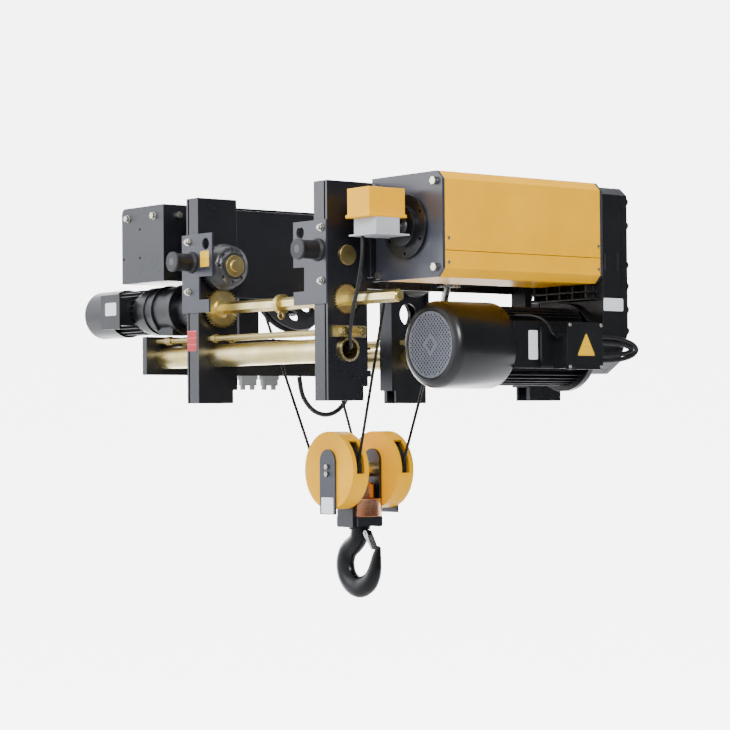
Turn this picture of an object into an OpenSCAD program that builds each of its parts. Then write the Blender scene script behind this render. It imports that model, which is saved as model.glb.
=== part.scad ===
// Low-headroom electric wire rope hoist on a monorail trolley, 4/1 reeving.
// X runs across the beam, Y along it, Z up; the wheels roll at Z = 0.

/* [Trolley frame] */
// half of the clear width between the two side frames
frame_in = 366; // [200:1:500]
// width of one post across the beam
post_w = 78; // [50:1:120]
// depth of one post along the beam
post_d = 185; // [120:1:260]
// wall thickness of a post
post_wall = 10; // [6:1:16]
// top of the posts above the rail surface
post_top = 350; // [200:1:500]
// bottom of the posts, below the rail surface
post_bottom = -450; // [-600:1:-300]
// front end of the frame along the beam
frame_front = -500; // [-700:1:-300]
// rear end of the frame along the beam
frame_rear = 660; // [400:1:900]
// height of the lower edge of the side plates
side_bottom = -36; // [-100:1:40]
// thickness of the side plates
side_t = 12; // [6:1:20]

/* [Wheels and drive] */
// radius of the wheel tread
tread_r = 80; // [60:1:120]
// radius of the wheel flange
flange_r = 91; // [70:1:140]
// radius of the wheel axle
axle_r = 30; // [20:1:40]
// gear module of the wheel drive
gear_m = 4; // [2:0.5:6]
// teeth on the wheel gear
wheel_teeth = 44; // [30:1:80]
// teeth on the drive pinion
pinion_teeth = 36; // [12:1:48]
// height of the drive shaft
drive_z = -80; // [-120:1:-40]
// width across flats of the drive shaft
hex_af = 41; // [30:1:60]
// right end of the drive shaft
hex_right = 736; // [500:1:900]

/* [Gauge tubes] */
// outside radius of the tie tubes
tube_r = 44; // [30:1:60]
// height of the tie tubes
tube_z = -264; // [-350:1:-200]
// left end of the tie tubes
tube_left = -727; // [-800:1:-500]
// right end of the tie tubes
tube_right = 457; // [445:1:600]
// radius of the threaded rods
rod_r = 10; // [6:1:16]
// height of the threaded rods
rod_z = -198; // [-240:1:-160]
// distance of each rod from the tube axis along the beam
rod_off = 40; // [30:1:60]

/* [Drum unit] */
// drum axis across the beam
drum_x = 640; // [560:1:720]
// drum axis height
drum_z = 175; // [120:1:230]
// outer radius of the drum
drum_r = 133.5; // [100:0.5:180]
// rope diameter
rope_d = 12; // [8:1:16]
// outer face of the drum unit
unit_out = 836; // [760:1:900]
// lower and upper edge of the drum unit plates
unit_z = [-15, 365]; // [-100:1:500]
// front face of the front end plate
unit_front = -288; // [-320:1:-240]
// rear face of the rear end plate
unit_rear = 509; // [450:1:600]
// corner chamfer of the plates and the covers
unit_chamfer = 30; // [10:1:60]
// sheet thickness of the drum covers
cover_t = 2.5; // [1:0.5:5]
// height of the seam between upper and lower cover
seam_z = 80; // [0:1:200]

/* [Hoist motor] */
// motor axis height
motor_z = -249; // [-300:1:-200]
// radius of the fan cover
motor_r = 160; // [120:1:200]
// front end of the grille
motor_front = -184; // [-260:1:-120]
// rear face of the motor flange
motor_rear = 509; // [450:1:560]

/* [Left unit] */
// inner and outer side of the cabinet across the beam
cabinet_x = [-902, -603]; // [-1000:1:-500]
// cabinet ends along the beam
cabinet_y = [-500, 640]; // [-600:1:800]
// cabinet bottom and top
cabinet_z = [39, 344]; // [0:1:400]

/* [Hook block] */
// sheave axis height
block_z = -713; // [-900:1:-500]
// distance of each sheave from the hook axis
sheave_y = 112; // [80:1:150]
// pitch radius of the block sheaves
sheave_r = 115; // [80:1:150]
// outer radius of the sheave covers
guard_r = 150; // [120:1:190]
// width of one sheave cover
guard_w = 78; // [60:1:100]
// centre height of the hook bowl
bowl_z = -1081; // [-1200:1:-950]
// inner radius of the hook bowl
bowl_r = 45; // [30:1:60]

/* [Return sheave] */
// centre of the return sheave, across and up
return_c = [-452, -21]; // [-600:1:100]
// pitch radius of the return sheave
return_r = 142; // [100:1:160]
// lean of the return sheave
return_lean = 25.2; // [0:0.1:45]

/* [Hidden] */
$fn = 64;
frame_out = frame_in + post_w;
axle_v = post_d / 2;
front_y = frame_front + axle_v;
rear_y = frame_rear - axle_v;
rope_r = rope_d / 2;
drum_pitch = drum_r + rope_r + 0.5;
guard_in = sheave_y - guard_w / 2;
guard_out = sheave_y + guard_w / 2;
strap_t = 12;
hook_depth = 84;
hook_mid = bowl_r + hook_depth / 2;
latch_c = [48, -958];
drive_shaft_left = -620;
drum_exit_y = -220;
// rope direction from the block up to the drum and up to the anchor
lead_drum = [511, 229];
anchor_end = [400, -30];
// which sub-part to draw

module block(x, y, z)
    translate([x[0], y[0], z[0]])
        cube([x[1] - x[0], y[1] - y[0], z[1] - z[0]]);

module rod_x(r, x, y, z)
    translate([x[0], y, z])
        rotate([0, 90, 0])
            cylinder(r = r, h = x[1] - x[0]);

module rod_y(r, y, x, z)
    translate([x, y[0], z])
        rotate([-90, 0, 0])
            cylinder(r = r, h = y[1] - y[0]);

module rod_up(r, z, x, y)
    translate([x, y, z[0]])
        cylinder(r = r, h = z[1] - z[0]);

module hex_x(af, x, y, z)
    translate([x[0], y, z])
        rotate([0, 90, 0])
            cylinder(r = af / sqrt(3), h = x[1] - x[0], $fn = 6);

module hex_y(af, y, x, z)
    translate([x, y[0], z])
        rotate([-90, 0, 0])
            cylinder(r = af / sqrt(3), h = y[1] - y[0], $fn = 6);

// straight round rod between two points
module strand(a, b, r) {
    d = b - a;
    run = norm([d[0], d[1]]);
    translate(a)
        rotate([0, atan2(run, d[2]), atan2(d[1], d[0])])
            cylinder(r = r, h = norm(d));
}

function unit(v) = v / norm(v);

// smooth curve value between the points b and c
function curve(a, b, c, d, t) = 0.5 * (2 * b + (c - a) * t + (2 * a - 5 * b + 4 * c - d) * t * t
    + (3 * b - a - 3 * c + d) * t * t * t);

// hose through a list of points; up is any direction the hose never runs along
module hose(points, r, up) {
    sides = 10;
    last = len(points) - 1;
    path = concat([for (i = [0:last - 1], t = [0, 1 / 3, 2 / 3])
        curve(points[max(i - 1, 0)], points[i], points[i + 1], points[min(i + 2, last)], t)],
        [points[last]]);
    n = len(path) - 1;
    rings = [for (i = [0:n])
        let (along = unit(path[min(i + 1, n)] - path[max(i - 1, 0)]),
            a = unit(cross(up, along)), b = cross(along, a))
        for (k = [0:sides - 1])
            path[i] + r * (cos(k * 360 / sides) * a + sin(k * 360 / sides) * b)];
    walls = [for (i = [0:n - 1], k = [0:sides - 1])
        let (p = i * sides + k, q = i * sides + (k + 1) % sides)
        for (f = [[p, p + sides, q + sides], [p, q + sides, q]])
            f];
    polyhedron(rings, concat(walls, [[for (k = [0:sides - 1]) k]],
        [[for (k = [sides - 1:-1:0]) n * sides + k]]));
}

// plate drawn in the X-Z plane and given a thickness along Y
module plate_xz(y)
    translate([0, y[1], 0])
        rotate([90, 0, 0])
            linear_extrude(y[1] - y[0])
                children();

// outline of a spur gear with straight-sided teeth
module gear_outline(m, teeth) {
    tip = m * (teeth / 2 + 0.85);
    root = m * (teeth / 2 - 1.2);
    step = 360 / teeth;
    polygon([for (i = [0:teeth - 1])
        for (k = [[root, -0.27], [tip, -0.11], [tip, 0.11], [root, 0.27]])
            k[0] * [cos((i + k[1]) * step), sin((i + k[1]) * step)]]);
}

// grooved rope sheave about the Z axis, centred at the origin
module sheave(pitch, width, bore) {
    rim = pitch + 14;
    gap = rope_r + 0.6;
    difference() {
        rotate_extrude($fn = 96)
            difference() {
                union() {
                    translate([bore, -width / 2])
                        square([bore * 0.6, width]);
                    translate([bore, -6])
                        square([pitch - bore - 14, 12]);
                    translate([pitch - 24, -width / 2])
                        square([rim - pitch + 24, width]);
                }
                translate([pitch, 0])
                    circle(r = gap, $fn = 32);
                polygon([[pitch, -gap], [rim + 1, -gap - 7], [rim + 1, gap + 7], [pitch, gap]]);
            }
        for (a = [0:60:300])
            rotate(a)
                translate([(bore * 1.6 + pitch - 24) / 2, 0, -width])
                    cylinder(r = (pitch - 24 - bore * 1.6) * 0.36, h = 2 * width);
    }
}

// one post of a side frame; u runs outboard, v from the frame's end inwards
module post() {
    in = post_wall;
    color([0.07, 0.075, 0.085])
        difference() {
            block([0, post_w], [0, post_d], [post_bottom, post_top]);
            block([in, post_w - in - 10], [in, post_d - in], [post_bottom - 1, post_top + 1]);
            block([post_w - 18, post_w - 10], [-1, 6], [post_bottom - 1, post_top + 1]);
            block([-1, post_w + 1], [post_d - 21, post_d + 1], [post_bottom - 1, post_bottom + 52]);
            rod_x(tube_r + 0.3, [-1, post_w + 1], axle_v, tube_z);
            rod_x(axle_r, [-1, post_w + 1], axle_v, tread_r);
            rod_x(46, [-1, 30], axle_v, drive_z);
            rod_x(60, [30, post_w + 1], axle_v, drive_z);
            for (s = [-1, 1])
                rod_x(rod_r + 0.5, [-1, post_w + 1], axle_v + s * rod_off, rod_z);
        }
}

// puts a part given in post coordinates on one corner of the trolley
module at_corner(right, front)
    translate([0, front ? frame_front : frame_rear, 0])
        mirror([0, front ? 0 : 1, 0])
            mirror([right ? 0 : 1, 0, 0])
                translate([frame_in, 0, 0])
                    children();

module at_all_corners()
    for (right = [false, true], front = [false, true])
        at_corner(right, front)
            children();

module posts(right)
    for (front = [true, false])
        at_corner(right, front)
            post();

module side_plates()
    color([0.05, 0.053, 0.06]) {
        for (s = [-1, 1])
            block([s > 0 ? frame_in : -frame_in - side_t, s > 0 ? frame_in + side_t : -frame_in],
                [frame_front + post_d, frame_rear - post_d], [side_bottom, post_top - 40]);
        block([frame_in + side_t, frame_out], [frame_front + post_d, frame_rear - post_d],
            [post_top - 60, post_top]);
        block([frame_out - 40, frame_out + 20], [frame_front + post_d, unit_front], [0, post_top - 60]);
    }

module tie_tubes()
    color([0.83, 0.68, 0.33])
        for (y = [front_y, rear_y])
            difference() {
                rod_x(tube_r, [tube_left, tube_right], y, tube_z);
                rod_x(tube_r - 8, [tube_left - 1, tube_right + 1], y, tube_z);
            }

// threaded rods with their lock nuts
module gauge_rods()
    color([0.78, 0.63, 0.3])
        for (y = [front_y, rear_y], s = [-1, 1]) {
            rod_x(rod_r, [tube_left, 484], y + s * rod_off, rod_z);
            for (x = [-660, -470, -340, 340, 456])
                hex_x(30, [x, x + (x < -600 ? 40 : 24)], y + s * rod_off, rod_z);
        }

module rod_straps()
    color([0.8, 0.66, 0.34])
        for (y = [front_y, rear_y], right = [false, true])
            difference() {
                block(right ? [frame_out, frame_out + 11] : [-frame_out - 1.5, -frame_out],
                    [y - 77, y + 77], [rod_z - 21, rod_z + 21]);
                for (s = [-1, 1])
                    rod_x(rod_r + 0.5, [-frame_out - 12, frame_out + 12], y + s * rod_off, rod_z);
            }

// plate on the frame's end that carries the buffer, notched for the beam flange
module bracket_outline(inner_top, inner_step, inner_foot, outer)
    difference() {
        polygon([[inner_top, 207], [outer, 207], [outer, -99], [inner_foot, -99],
            [inner_foot, -49], [inner_step, -49], [inner_step, 40], [inner_top, 40]]);
        translate([inner_top + sign(outer) * 42, 166])
            circle(r = 22.5);
        for (z = [178, -16])
            translate([sign(outer) * 420, z])
                circle(r = 8);
    }

module buffer_brackets()
    color([0.13, 0.14, 0.16])
        for (y = [[frame_front - 8, frame_front], [frame_rear, frame_rear + 8]]) {
            plate_xz(y)
                bracket_outline(252, 316, 252, frame_out + 2);
            plate_xz(y)
                bracket_outline(-263, -350, -285, -frame_out - 21);
        }

// all the visible bolt heads of the frame, the cabinet and the covers
module bolts()
    color([0.72, 0.68, 0.55]) {
        for (front = [true, false], x = [-420, 420], z = [178, -16])
            translate([0, front ? frame_front : frame_rear, 0])
                mirror([0, front ? 0 : 1, 0]) {
                    rod_y(7.9, [-26, 0], x, z);
                    hex_y(24, [-18, -8], x, z);
                }
        for (x = [-857, -670], y = [cabinet_y[0] - 14, cabinet_y[1]])
            hex_y(24, [y, y + 14], x, 302);
        hex_x(24, [cabinet_x[1], cabinet_x[1] + 14], -429, 302);
        for (y = [-20, 40], z = [305, 120])
            hex_x(22, [cabinet_x[1] + 8, cabinet_x[1] + 20], y, z);
        hex_x(22, [cabinet_x[1], cabinet_x[1] + 12], 300, 120);
        for (y = [-262, 484], z = [seam_z + 44, seam_z - 42])
            rod_x(6, [unit_out, unit_out + 5], y, z);
    }

module buffers()
    color([0.03, 0.03, 0.03])
        for (x = [-398, 398], front = [true, false])
            translate([x, front ? frame_front - 8 : frame_rear + 8, 98])
                rotate([front ? 90 : -90, 0, 0])
                    rotate_extrude()
                        polygon([[0, 0], [42, 0], [42, 6], [34, 14], [34, 74], [40, 86],
                            [38, 96], [0, 96]]);

// wheel in post coordinates; a driven wheel carries a ring gear
module wheel(driven)
    color([0.12, 0.12, 0.13])
        translate([0, axle_v, tread_r])
            difference() {
                union() {
                    rotate([0, 90, 0])
                        translate([0, 0, -112])
                            rotate_extrude($fn = 96)
                                polygon([[axle_r + 0.06, 0], [52, 0], [52, 10], [66, 16],
                                    [tread_r, 20], [tread_r, 56], [flange_r, 62], [flange_r, 74],
                                    [48, 74], [48, 109], [axle_r + 0.06, 109]]);
                    if (driven)
                        translate([-37, 0, 0])
                            rotate([0, 90, 0])
                                linear_extrude(26)
                                    difference() {
                                        gear_outline(gear_m, wheel_teeth);
                                        circle(r = 48);
                                    }
                }
                for (a = [0:45:315])
                    rotate([a, 0, 0])
                        translate([-120, 60, 0])
                            rotate([0, 90, 0])
                                cylinder(r = 5, h = 30);
            }

module wheel_axles()
    color([0.78, 0.66, 0.36])
        at_all_corners()
            translate([0, axle_v, tread_r])
                rotate([0, 90, 0])
                    rotate_extrude()
                        polygon([[0, -124], [22, -124], [22, -118], [42, -118], [42, -112.3],
                            [axle_r, -112.3], [axle_r, post_w], [37.5, post_w], [37.5, post_w + 7],
                            [0, post_w + 7]]);

module drive_shaft()
    color([0.83, 0.68, 0.33]) {
        hex_x(hex_af, [drive_shaft_left, hex_right], front_y, drive_z);
        rod_x(16, [hex_right, hex_right + 6], front_y, drive_z);
        difference() {
            rod_x(36, [36, 58], front_y, drive_z);
            rod_up(4, [drive_z + 24, drive_z + 40], 47, front_y);
        }
        difference() {
            rod_x(16, [58, 63], front_y - 12, drive_z - 44);
            rod_x(7, [50, 70], front_y - 12, drive_z - 44);
        }
    }

// pinion with its hub, in post coordinates
module pinion()
    translate([0, axle_v, drive_z])
        difference() {
            union() {
                rotate([180 / pinion_teeth, 0, 0])
                    translate([-37, 0, 0])
                        rotate([0, 90, 0])
                            linear_extrude(26)
                                gear_outline(gear_m, pinion_teeth);
                rod_x(38, [-45, 52], 0, 0);
                rotate([0, 90, 0])
                    translate([0, 0, 52])
                        linear_extrude(22)
                            gear_outline(3.4, 32);
            }
            hex_x(hex_af, [-60, 90], 0, 0);
        }

module drive_pinions()
    color([0.72, 0.6, 0.32])
        for (right = [false, true])
            at_corner(right, true)
                pinion();

// bearing rings of the drive shaft and the flanged bearing of the drum
module shaft_bearings() {
    color([0.6, 0.6, 0.6])
        for (right = [false, true])
            at_corner(right, true)
                difference() {
                    rod_x(46, [0, 20], axle_v, drive_z);
                    rod_x(38.05, [-1, 30], axle_v, drive_z);
                }
    color([0.05, 0.055, 0.062])
        difference() {
            union() {
                rod_y(117, [unit_front - 12, unit_front], drum_x, drum_z);
                rod_y(74, [unit_front - 30, unit_front - 12], drum_x, drum_z);
                rod_y(60, [unit_front, unit_front + 12], drum_x, drum_z);
            }
            rod_y(35.05, [unit_front - 40, unit_front + 20], drum_x, drum_z);
            for (a = [30:60:330])
                rod_y(6, [unit_front - 20, unit_front + 1], drum_x + 98 * cos(a), drum_z + 98 * sin(a));
        }
}

module trolley_gearbox()
    color([0.06, 0.065, 0.075])
        difference() {
            union() {
                rod_x(92, [-744, -560], front_y, drive_z + 5);
                rod_x(100, [-700, -684], front_y, drive_z + 5);
                rod_x(100, [-590, -560], front_y, drive_z + 5);
                rod_x(70, [-560, -456], front_y, drive_z);
                rod_x(92, [-456, -frame_out - 0.3], front_y, drive_z);
                block([-690, -590], [front_y - 60, front_y + 60], [-175, -70]);
            }
            rod_x(27, [-640, -400], front_y, drive_z);
        }

module trolley_motor()
    color([0.05, 0.055, 0.062]) {
        rod_x(97, [-790, -744.3], front_y, drive_z + 5);
        rod_x(88, [-830, -790], front_y, drive_z + 5);
        translate([-990, front_y, drive_z + 5])
            rotate([0, 90, 0])
                linear_extrude(160)
                    union() {
                        circle(r = 80);
                        for (a = [0:15:345])
                            rotate(a)
                                translate([40, -2])
                                    square([52, 4]);
                    }
        rod_x(12, [-1100, -990], front_y, drive_z + 5);
        block([-975, -846], [front_y - 138, front_y - 70], [drive_z - 50, drive_z + 60]);
        block([-980, -841], [front_y - 146, front_y - 138], [drive_z - 65, drive_z + 75]);
    }

module trolley_fan_cover()
    color([0.05, 0.055, 0.062])
        translate([0, front_y, drive_z + 5])
            difference() {
                rod_x(98, [-1176, -990.3], 0, 0);
                rod_x(95, [-1172, -980], 0, 0);
                for (r = [36, 66], a = [0:360 / floor(r / 4):359])
                    rotate([a, 0, 0])
                        rod_x(4.5, [-1180, -1160], r, 0);
            }

module fan(r, n, hub, len)
    difference() {
        union() {
            cylinder(r = hub, h = len);
            cylinder(r = r * 0.7, h = 3);
            for (i = [0:n - 1])
                rotate(i * 360 / n)
                    translate([hub - 2, -1.5, 0])
                        cube([r - hub + 2, 3, len]);
        }
        translate([0, 0, -1])
            cylinder(r = 12.05, h = len + 2);
    }

module trolley_fan()
    color([0.12, 0.12, 0.12])
        translate([-1095, front_y, drive_z + 5])
            rotate([0, 90, 0])
                fan(88, 8, 24, 32);

module cabinet()
    color([0.06, 0.065, 0.072])
        difference() {
            union() {
                block(cabinet_x, cabinet_y, cabinet_z);
                block([cabinet_x[1], cabinet_x[1] + 16], [-300, 560], [cabinet_z[1] - 3, cabinet_z[1]]);
            }
            block([cabinet_x[0] + 3, cabinet_x[1] - 3], [cabinet_y[0] + 3, cabinet_y[1] - 3],
                [cabinet_z[0] + 3, cabinet_z[1] - 3]);
            translate([cabinet_x[0], 0, cabinet_z[1]])
                difference() {
                    block([-1, 24], [cabinet_y[0] - 1, cabinet_y[1] + 1], [-24, 1]);
                    rod_y(24, [cabinet_y[0] - 2, cabinet_y[1] + 2], 24, -24);
                }
            for (p = [[-771, 254], [-771, 139], [-887, 139]])
                rod_y(5, [cabinet_y[0] - 1, cabinet_y[0] + 10], p[0], p[1]);
        }

module cabinet_supports()
    color([0.05, 0.055, 0.062]) {
        block([cabinet_x[1], cabinet_x[1] + 8], [-50, 70], [60, 330]);
        block([cabinet_x[0] + 40, cabinet_x[1] - 20], [-40, 60], [cabinet_z[0] - 30, cabinet_z[0]]);
        block([-758, tube_left], [-40, 60], [-179, cabinet_z[0] - 30]);
        for (y = [[front_y + 20, front_y + 80], [rear_y - 80, rear_y - 20]])
            block([cabinet_x[1], -frame_out], y, [250, 310]);
    }

module counterweight()
    color([0.045, 0.055, 0.075])
        block([-758, tube_left], [frame_front, frame_rear], [-332, -179]);

module plug_connectors()
    color([0.5, 0.5, 0.48])
        for (y = [-30, 80])
            translate([0, y, 0]) {
                block([-757, -729], [0, 84], [-348, -332]);
                block([-754, -732], [4, 80], [-372, -348]);
                for (d = [16, 64])
                    rod_up(11, [-390, -372], -743, d);
            }

module unit_outline()
    polygon([[frame_out, unit_z[0]], [unit_out - unit_chamfer, unit_z[0]],
        [unit_out, unit_z[0] + unit_chamfer], [unit_out, unit_z[1] - unit_chamfer],
        [unit_out - unit_chamfer, unit_z[1]], [frame_out, unit_z[1]]]);

// tie rod places in the drum end plates
tie_places = [[unit_out - 36, unit_z[1] - 36], [unit_out - 36, unit_z[0] + 36],
    [frame_out + 26, unit_z[1] - 36], [frame_out + 42, unit_z[0] + 20]];

module drum_end_plates()
    color([0.06, 0.065, 0.075])
        for (y = [[unit_front, unit_front + 12], [unit_rear - 12, unit_rear]])
            difference() {
                plate_xz(y)
                    unit_outline();
                rod_y(60, [y[0] - 1, y[1] + 1], drum_x, drum_z);
                for (p = tie_places)
                    rod_y(12, [y[0] - 1, y[1] + 1], p[0], p[1]);
            }

module drum_tie_rods()
    color([0.72, 0.73, 0.7])
        for (p = tie_places) {
            rod_y(12, [unit_front - 4, unit_rear - 1], p[0], p[1]);
            hex_y(27, [unit_front - 16, unit_front - 4], p[0], p[1]);
        }

module drum()
    color([0.35, 0.36, 0.37]) {
        difference() {
            union() {
                rod_y(drum_r, [-250, 478], drum_x, drum_z);
                for (y = [-256, 472])
                    rod_y(drum_r + 10, [y, y + 8], drum_x, drum_z);
            }
            rod_y(drum_r - 14, [-240, 468], drum_x, drum_z);
        }
        rod_y(35, [unit_front - 34, 560], drum_x, drum_z);
        rod_y(10, [-385, unit_front - 34], drum_x, drum_z);
    }

module wound_rope()
    color([0.3, 0.3, 0.29])
        translate([drum_x, drum_exit_y + 18, drum_z])
            rotate([-90, 0, 0])
                rotate_extrude($fn = 96)
                    union() {
                        translate([drum_r, 0])
                            square([rope_r, 31 * 13]);
                        for (i = [0:30])
                            translate([drum_pitch, 6.5 + i * 13])
                                circle(r = rope_r, $fn = 24);
                    }

module rope_guide()
    color([0.5, 0.5, 0.5])
        difference() {
            rod_y(170, [-232, -208], drum_x, drum_z);
            rod_y(150, [-233, -207], drum_x, drum_z);
            block([drum_x - 180, drum_x], [-240, -200], [drum_z - 120, drum_z + 110]);
            block([700, 900], [-240, -200], [drum_z + 110, drum_z + 190]);
            block([700, 900], [-240, -200], [drum_z - 190, drum_z - 110]);
        }

// folded cover between two heights, following the plate outline
module cover_shell(low, high)
    color([1.0, 0.74, 0.12])
        intersection() {
            difference() {
                plate_xz([unit_front + 12.5, unit_rear - 12.5])
                    unit_outline();
                translate([-cover_t, 0, 0])
                    plate_xz([unit_front, unit_rear])
                        intersection() {
                            unit_outline();
                            translate([0, cover_t])
                                unit_outline();
                            translate([0, -cover_t])
                                unit_outline();
                        }
                block([frame_out - 5, frame_out + 60], [unit_front, unit_rear], [low - 1, 230]);
            }
            block([frame_out + (low > 0 ? 20 : 60), unit_out + 1], [unit_front, unit_rear], [low, high]);
        }

module upper_cover()
    cover_shell(seam_z + 1, unit_z[1] + 1);

module lower_cover()
    cover_shell(unit_z[0] - 1, seam_z - 1);

module gearbox_outline()
    polygon([[frame_out + 1, 130], [492, 110], [492, -300], [560, -352], [724, -352], [790, -310],
        [unit_out, -200], [unit_out, 322], [800, 352], [frame_out + 1, 352]]);

module hoist_gearbox()
    color([0.06, 0.065, 0.075])
        difference() {
            union() {
                plate_xz([unit_rear, unit_rear + 100])
                    gearbox_outline();
                for (x = [500, 570, 640, 710, 780])
                    block([x - 4, x + 4], [470, unit_rear], [-76, unit_z[0] - 1]);
                for (z = [-72, -44])
                    block([480, 800], [470, unit_rear], [z - 4, z + 4]);
            }
            translate([0, 12, 0])
                plate_xz([unit_rear, unit_rear + 100])
                    intersection() {
                        gearbox_outline();
                        translate([14, 14])
                            gearbox_outline();
                        translate([-14, -14])
                            gearbox_outline();
                    }
            rod_y(40, [460, 530], drum_x, drum_z);
            rod_y(40, [460, 530], drum_x, motor_z);
            block([unit_out - 6, unit_out + 1], [514, 524], [40, 96]);
            block([unit_out - 6, unit_out + 1], [586, 592], [40, 100]);
        }

module gearbox_cover()
    color([0.055, 0.06, 0.07])
        difference() {
            union() {
                plate_xz([unit_rear + 100.3, 640])
                    gearbox_outline();
                rod_y(118, [640, 652], drum_x, drum_z);
                rod_y(84, [640, 656], drum_x, motor_z);
                rod_y(70, [640, 650], 690, -60);
                for (z = [300, 210, 60, -20, -110, -190])
                    rod_y(14, [636, 652], 818, z);
                for (x = [520, 760])
                    block([x - 6, x + 6], [640, 650], [-290, 330]);
            }
        }

module motor_stator()
    color([0.05, 0.055, 0.062]) {
        translate([drum_x, 482, motor_z])
            rotate([90, 0, 0])
                linear_extrude(382)
                    union() {
                        circle(r = 128);
                        for (a = [48:8:312])
                            rotate(a)
                                translate([90, -2.5])
                                    square([58, 5]);
                        translate([90, -86])
                            square([54, 172]);
                    }
        rod_y(168, [482, motor_rear], drum_x, motor_z);
        rod_y(12, [-90, 100], drum_x, motor_z);
    }

module motor_fan_cover()
    color([0.05, 0.052, 0.055])
        difference() {
            translate([drum_x, motor_front, motor_z])
                rotate([-90, 0, 0])
                    rotate_extrude($fn = 96)
                        polygon([[0, 0], [125, 0], [motor_r, 38], [motor_r, 283.7],
                            [motor_r - 3, 283.7], [motor_r - 3, 40], [123, 4], [0, 4]]);
            for (i = [-3:3], j = [-3:3])
                if (norm([i, j]) < 3.7 && norm([i, j]) > 0)
                    rod_y(8, [motor_front - 2, motor_front + 10],
                        drum_x + 22 * (i + j), motor_z + 22 * (i - j));
        }

module motor_fan()
    color([0.1, 0.1, 0.1])
        translate([drum_x, -86, motor_z])
            rotate([-90, 0, 0])
                fan(140, 9, 32, 46);

module motor_terminal_box()
    color([0.07, 0.075, 0.088]) {
        block([784.3, 852], [296, 469], [-336, -169]);
        block([852, 868], [292, 473], [-340, -165]);
        block([784.3, 800], [224, 296], [-330, -180]);
        rod_y(11, [274, 296], 826, -215);
        for (z = [-217, -238, -286, -307])
            rod_y(10.3, [469, 490], 843, z);
    }

// the leads the hoist holds all the way: beam loop, motor loop, brake lead, switch lead
module cables()
    color([0.02, 0.02, 0.02]) {
        hose([for (a = [0:30:180]) [-742, 420 - 140 * cos(a), -334 - 160 * sin(a)]], 10, [1, 0, 0]);
        for (s = [0, 1])
            hose([for (a = [0:30:180])
                [843, 491 + (185 - 26 * s) * sin(a), -262 + (45 - 21 * s) * cos(a)]],
                9, [1, 0, 0]);
        hose([[766, 120, -140], [800, 180, -142], [828, 220, -165], [830, 250, -205],
            [826, 273, -215]], 4, [1, 0, 0]);
        hose([[600, -462, 137], [596, -462, 60], [566, -458, -40], [520, -448, -140],
            [484, -430, -215], [468, -414, -252], [440, front_y, -264], [380, front_y, -264]], 7,
            [0, 1, 0]);
    }

module limit_switch()
    color([0.78, 0.78, 0.78])
        difference() {
            union() {
                block([565, 690], [-473, -364], [143, 200]);
                block([550, 700], [-484, -350], [137, 143]);
                block([560, 700], [-364, unit_front - 12.5], [137, 143]);
            }
            rod_y(10.05, [-400, -360], drum_x, drum_z);
            rod_y(75.5, [-326, unit_front], drum_x, drum_z);
            rod_y(118, [-300.5, unit_front], drum_x, drum_z);
        }

module limit_switch_cover()
    color([1.0, 0.8, 0.2]) {
        block([560, 685], [-500, -333], [212, 307]);
        block([555, 690], [-505, -328], [200, 212]);
    }

module lean_frame()
    translate([return_c[0], 0, return_c[1]])
        rotate([0, 90 - return_lean, 0])
            children();

module return_sheave()
    color([0.3, 0.31, 0.32])
        lean_frame()
            sheave(return_r, 36, 30.05);

module return_bracket()
    color([0.05, 0.055, 0.062]) {
        lean_frame()
            cylinder(r = 30, h = 100, center = true);
        difference() {
            lean_frame()
                for (w = [-50, 20])
                    translate([-260, -50, w + (w > 0 ? 4 : 0)])
                        difference() {
                            cube([320, 100, 26]);
                            translate([260, 50, -1])
                                cylinder(r = 30, h = 40);
                        }
            block([-800, 0], [-100, 100], [146, 400]);
        }
        block([-594, -frame_in - side_t], [-90, 90], [146, 160]);
        block([-420, -frame_in - side_t], [-90, -78], [60, 146]);
        block([-420, -frame_in - side_t], [78, 90], [60, 146]);
    }

module rope_anchor()
    color([0.55, 0.56, 0.57]) {
        block([frame_in + side_t, 430], [70, 154], [-20, -6]);
        block([frame_in + side_t, 386], [70, 154], [-6, 70]);
        strand([anchor_end[0] - 16, sheave_y, anchor_end[1] - 46], [anchor_end[0], sheave_y, -20], 14);
        rod_up(12, [-6, 34], anchor_end[0] + 6, sheave_y);
    }

module rope_return_wrap()
    color([0.35, 0.35, 0.34])
        lean_frame()
            rotate(90)
                rotate_extrude(angle = 180, $fn = 96)
                    translate([return_r, 0])
                        circle(r = rope_r, $fn = 24);

// where a rope leaves a block sheave for a direction in X-Z, and a point further along it
function leave(side, d) = [side * d[1], -side * d[0]] * sheave_r / norm(d) + [0, block_z];
function further(p, d) = p + 60 * d / norm(d);

to_drum = lead_drum - [106, -758];
to_anchor = anchor_end - [122, -758];
to_return = return_c - [-104, -762];
right_a = leave(1, to_drum);
right_b = leave(1, to_anchor);
left_a = leave(-1, to_return);
fall_a = further(right_a, to_drum);
fall_b = further(right_b, to_anchor);
fall_l = further(left_a, to_return);

module rope_fall_drum()
    color([0.35, 0.35, 0.34])
        strand([fall_a[0], -sheave_y, fall_a[1]], [lead_drum[0], drum_exit_y, lead_drum[1]], rope_r);

module rope_falls_return()
    color([0.35, 0.35, 0.34])
        for (s = [-1, 1])
            strand([fall_l[0], s * sheave_y, fall_l[1]], [return_c[0], s * return_r, return_c[1]],
                rope_r);

module rope_fall_anchor()
    color([0.35, 0.35, 0.34])
        strand([fall_b[0], sheave_y, fall_b[1]],
            [anchor_end[0] - 17, sheave_y, anchor_end[1] - 49], rope_r);

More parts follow.
